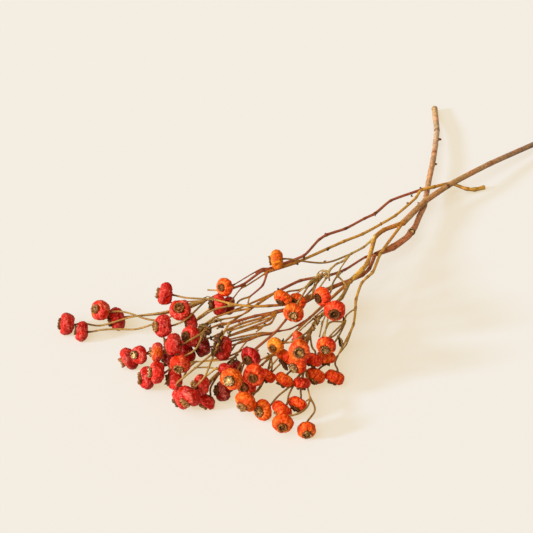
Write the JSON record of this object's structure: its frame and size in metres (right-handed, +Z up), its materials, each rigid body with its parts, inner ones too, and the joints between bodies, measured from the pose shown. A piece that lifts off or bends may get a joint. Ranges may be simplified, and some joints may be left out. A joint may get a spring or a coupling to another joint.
{
  "type": "rose hip sprig",
  "caption": "Dried spray of wild rose hips lying flat: crossing cut stems that branch into fine stalks, each with a squat wrinkled hip.",
  "frame": {"origin": "on the table, under the middle of the spray's box", "axes": "+X along the spray from the hips towards the cut ends, +Z up from the table"},
  "size_m": [0.466, 0.1992, 0.0486],
  "materials": {
    "tan_bark": "dry bark, satin, with dark rings at the nodes",
    "golden_bark": "dry golden-brown bark, satin",
    "maroon_bark": "thin maroon bark, satin",
    "crimson_skin": "dried fruit skin, wrinkled, low gloss",
    "scarlet_skin": "dried fruit skin, wrinkled, low gloss",
    "orange_skin": "dried fruit skin, wrinkled, low gloss",
    "garnet_skin": "dried fruit skin, wrinkled, low gloss"
  },
  "bodies": {
    "root": {"tall_stem": "tan_bark", "side_stem": "golden_bark", "short_stem": "maroon_bark", "hip_01": "crimson_skin", "hip_02": "scarlet_skin", "hip_03": "orange_skin", "hip_04": "scarlet_skin", "hip_05": "crimson_skin", "hip_06": "orange_skin", "hip_07": "crimson_skin", "hip_08": "garnet_skin", "hip_09": "crimson_skin", "hip_10": "scarlet_skin", "hip_11": "scarlet_skin", "hip_12": "scarlet_skin", "hip_13": "scarlet_skin", "hip_14": "crimson_skin", "hip_15": "orange_skin", "hip_16": "crimson_skin", "hip_17": "scarlet_skin", "hip_18": "garnet_skin", "hip_19": "garnet_skin", "hip_20": "crimson_skin", "hip_21": "orange_skin", "hip_22": "crimson_skin", "hip_23": "garnet_skin", "hip_24": "orange_skin", "hip_25": "scarlet_skin", "hip_26": "orange_skin", "hip_27": "orange_skin", "hip_28": "scarlet_skin", "hip_29": "scarlet_skin", "hip_30": "scarlet_skin", "hip_31": "crimson_skin", "hip_32": "scarlet_skin", "hip_33": "scarlet_skin", "hip_34": "garnet_skin", "hip_35": "orange_skin", "hip_36": "garnet_skin", "hip_37": "scarlet_skin", "hip_38": "scarlet_skin", "hip_39": "scarlet_skin", "hip_40": "garnet_skin", "hip_41": "orange_skin", "hip_42": "orange_skin", "hip_43": "orange_skin", "hip_44": "scarlet_skin", "hip_45": "scarlet_skin", "hip_46": "scarlet_skin", "hip_47": "orange_skin", "hip_48": "garnet_skin", "hip_49": "orange_skin", "hip_50": "scarlet_skin", "hip_51": "scarlet_skin", "hip_52": "orange_skin", "hip_53": "orange_skin", "hip_54": "orange_skin", "hip_55": "scarlet_skin", "hip_56": "scarlet_skin", "hip_57": "orange_skin"}
  },
  "joints": []
}
